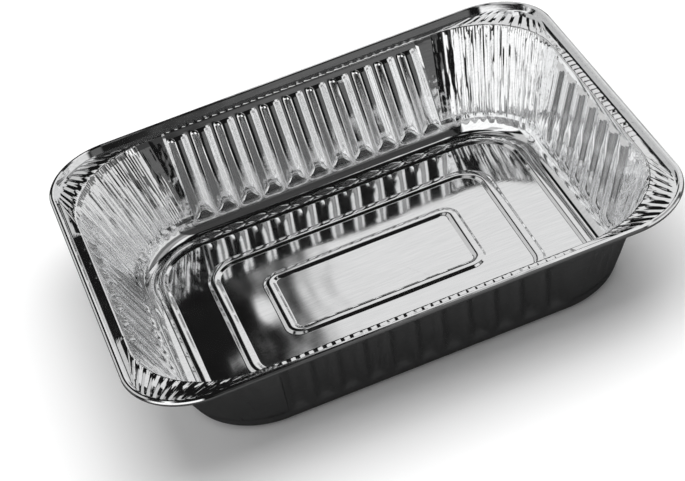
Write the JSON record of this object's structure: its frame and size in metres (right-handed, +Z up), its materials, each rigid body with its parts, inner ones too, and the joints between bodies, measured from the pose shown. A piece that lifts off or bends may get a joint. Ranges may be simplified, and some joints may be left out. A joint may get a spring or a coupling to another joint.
{
  "type": "aluminium foil tray",
  "caption": "Deep rectangular foil tray with fluted walls, pleated corners, a ringed base and a flange that ends in a rolled bead.",
  "frame": {"origin": "middle of the underside of the base, where the tray rests", "axes": "+X along the long side, +Y along the short side, +Z up out of the open mouth"},
  "size_m": [0.324, 0.264, 0.065],
  "materials": {
    "foil": "bright rolled foil"
  },
  "bodies": {
    "root": {"tray": "foil"}
  },
  "joints": []
}
